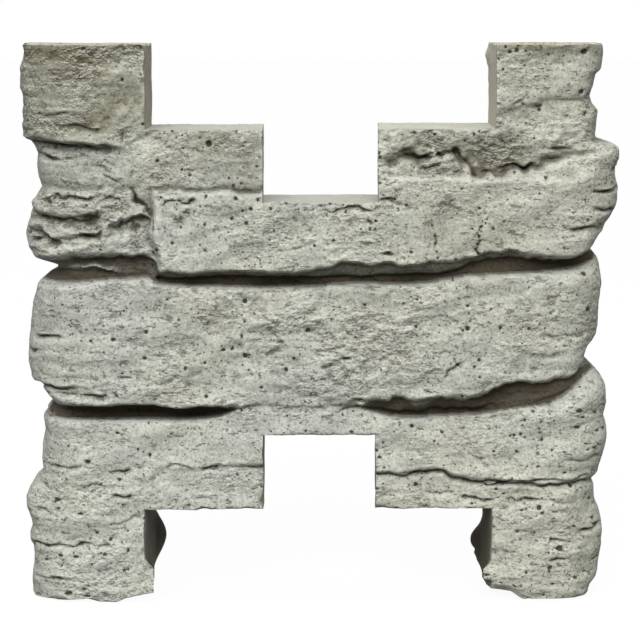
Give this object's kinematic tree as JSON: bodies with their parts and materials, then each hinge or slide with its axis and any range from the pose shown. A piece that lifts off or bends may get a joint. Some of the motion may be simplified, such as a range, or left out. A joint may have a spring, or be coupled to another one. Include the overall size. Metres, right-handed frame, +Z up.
{
  "type": "rock-faced concrete block with toothed ends",
  "caption": "Solid cast concrete block with a rock-faced front, a flat back and stepped notches in its top and bottom edges.",
  "frame": {"origin": "middle of the underside, on the plane of the two feet", "axes": "+X to the right as one looks at the stone face, +Y from the stone face to the flat back, +Z up from the feet to the horn tops"},
  "size_m": [0.418, 0.1, 0.388],
  "materials": {
    "concrete": "rough cast grey concrete, matt and pitted"
  },
  "bodies": {
    "root": {"facing_block": "concrete"}
  },
  "joints": []
}
